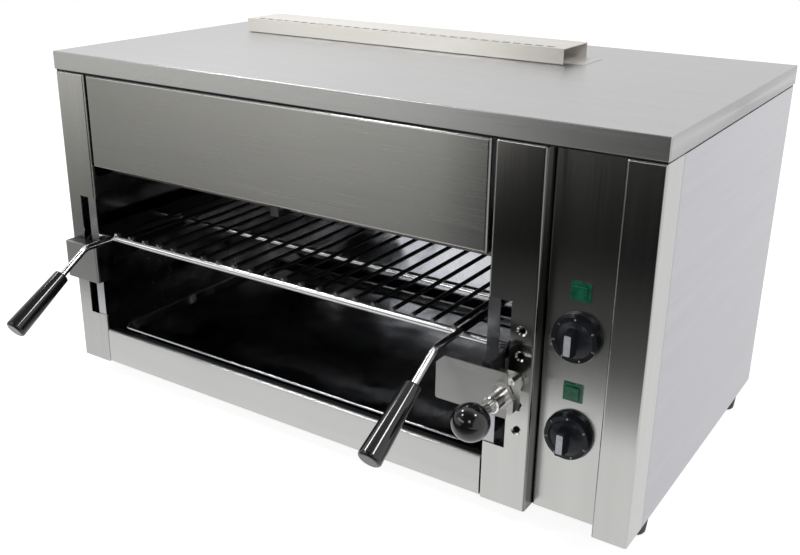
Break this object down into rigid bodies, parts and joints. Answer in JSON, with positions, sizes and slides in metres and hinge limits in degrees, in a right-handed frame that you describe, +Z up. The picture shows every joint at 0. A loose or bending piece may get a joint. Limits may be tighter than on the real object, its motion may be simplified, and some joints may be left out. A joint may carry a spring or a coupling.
{
  "type": "cheese melter",
  "caption": "Countertop electric cheese melter with a wire rack on a height-adjustable carriage, a spring plunger lock, a drip tray and a flue on the lid.",
  "frame": {"origin": "on the counter, at the centre of the footprint with the handles included", "axes": "+Z up, +X to the right as the user faces the open front, -Y towards the user"},
  "size_m": [0.802, 0.6383, 0.4678],
  "materials": {
    "stainless": "satin, brushed along its length",
    "liner": "bright rolled, darkened by heat",
    "bright_strip": "polished",
    "chromed_wire": "bright",
    "plated_steel": "plated, bright",
    "black_gloss": "polished",
    "knob_black": "moulded, semi-gloss",
    "foot_black": "moulded",
    "shoe_nylon": "moulded",
    "lens_green": "translucent green",
    "moulding_grey": "moulded",
    "element_sheath": "oxidised sheath",
    "terminal_ceramic": "unglazed"
  },
  "bodies": {
    "casing": {"lid": "stainless", "side_panel_left": "stainless", "side_panel_right": "stainless", "rear_panel": "stainless", "left_post": "stainless", "middle_post": "stainless", "corner_post": "stainless", "fascia": "stainless", "front_rail": "stainless", "control_panel": "stainless", "top_frame": "stainless", "base_pan": "stainless", "flue_box": "stainless", "flue_plate": "stainless", "cavity_wall_left": "liner", "cavity_wall_right": "liner", "cavity_back": "liner", "cavity_ceiling": "liner", "cavity_floor": "liner", "flue_duct": "liner", "element_rest": "liner", "element_hanger": "liner", "tray_runners": "liner", "slot_guide_left": "bright_strip", "slot_guide_right": "bright_strip", "rear_screws": "plated_steel", "feet": "foot_black", "cable_gland": "foot_black", "lamp_lenses": "lens_green", "lamp_holders": "moulding_grey", "regulator_upper": "moulding_grey", "regulator_lower": "moulding_grey", "heating_element_front": "element_sheath", "heating_element_rear": "element_sheath", "terminal_block": "terminal_ceramic"},
    "carriage": {"carrier_left": "liner", "carrier_right": "liner", "bracket_left": "stainless", "bracket_right": "stainless", "carriage_ties": "chromed_wire", "slide_shoe_left": "shoe_nylon", "slide_shoe_right": "shoe_nylon", "plunger_block": "plated_steel", "plunger_housing": "plated_steel", "plunger_nut": "plated_steel", "plunger_spring": "plated_steel"},
    "plunger": {"plunger_pin": "plated_steel", "ball_knob": "black_gloss"},
    "rack": {"rack": "chromed_wire", "handle_rod_left": "chromed_wire", "handle_rod_right": "chromed_wire", "grip_left": "black_gloss", "grip_right": "black_gloss"},
    "tray": {"drip_tray": "liner"},
    "upper_knob": {"knob_upper": "knob_black", "spindle_upper": "plated_steel"},
    "lower_knob": {"knob_lower": "knob_black", "spindle_lower": "plated_steel"}
  },
  "joints": [
    {"name": "rack_lift", "type": "slide", "parent": "casing", "child": "carriage", "axis": [0, 0, 1], "range_m": [-0.0562, 0.0562]},
    {"name": "rack_slide", "type": "slide", "parent": "carriage", "child": "rack", "axis": [0, -1, 0], "range_m": [0, 0.15]},
    {"name": "plunger_pull", "type": "slide", "parent": "carriage", "child": "plunger", "axis": [0, -1, 0], "range_m": [-0.0048, 0.004], "stiffness_N_per_m": 600, "springref_m": -0.012, "deforming": ["plunger_spring"]},
    {"name": "tray_slide", "type": "slide", "parent": "casing", "child": "tray", "axis": [0, -1, 0], "range_m": [0, 0.13]},
    {"name": "upper_knob_turn", "type": "hinge", "parent": "casing", "child": "upper_knob", "pos_m": [0.3225, -0.12864, 0.2324], "axis": [0, 1, 0], "range_deg": [0, 300]},
    {"name": "lower_knob_turn", "type": "hinge", "parent": "casing", "child": "lower_knob", "pos_m": [0.3225, -0.12864, 0.1232], "axis": [0, 1, 0], "range_deg": [0, 300]}
  ]
}
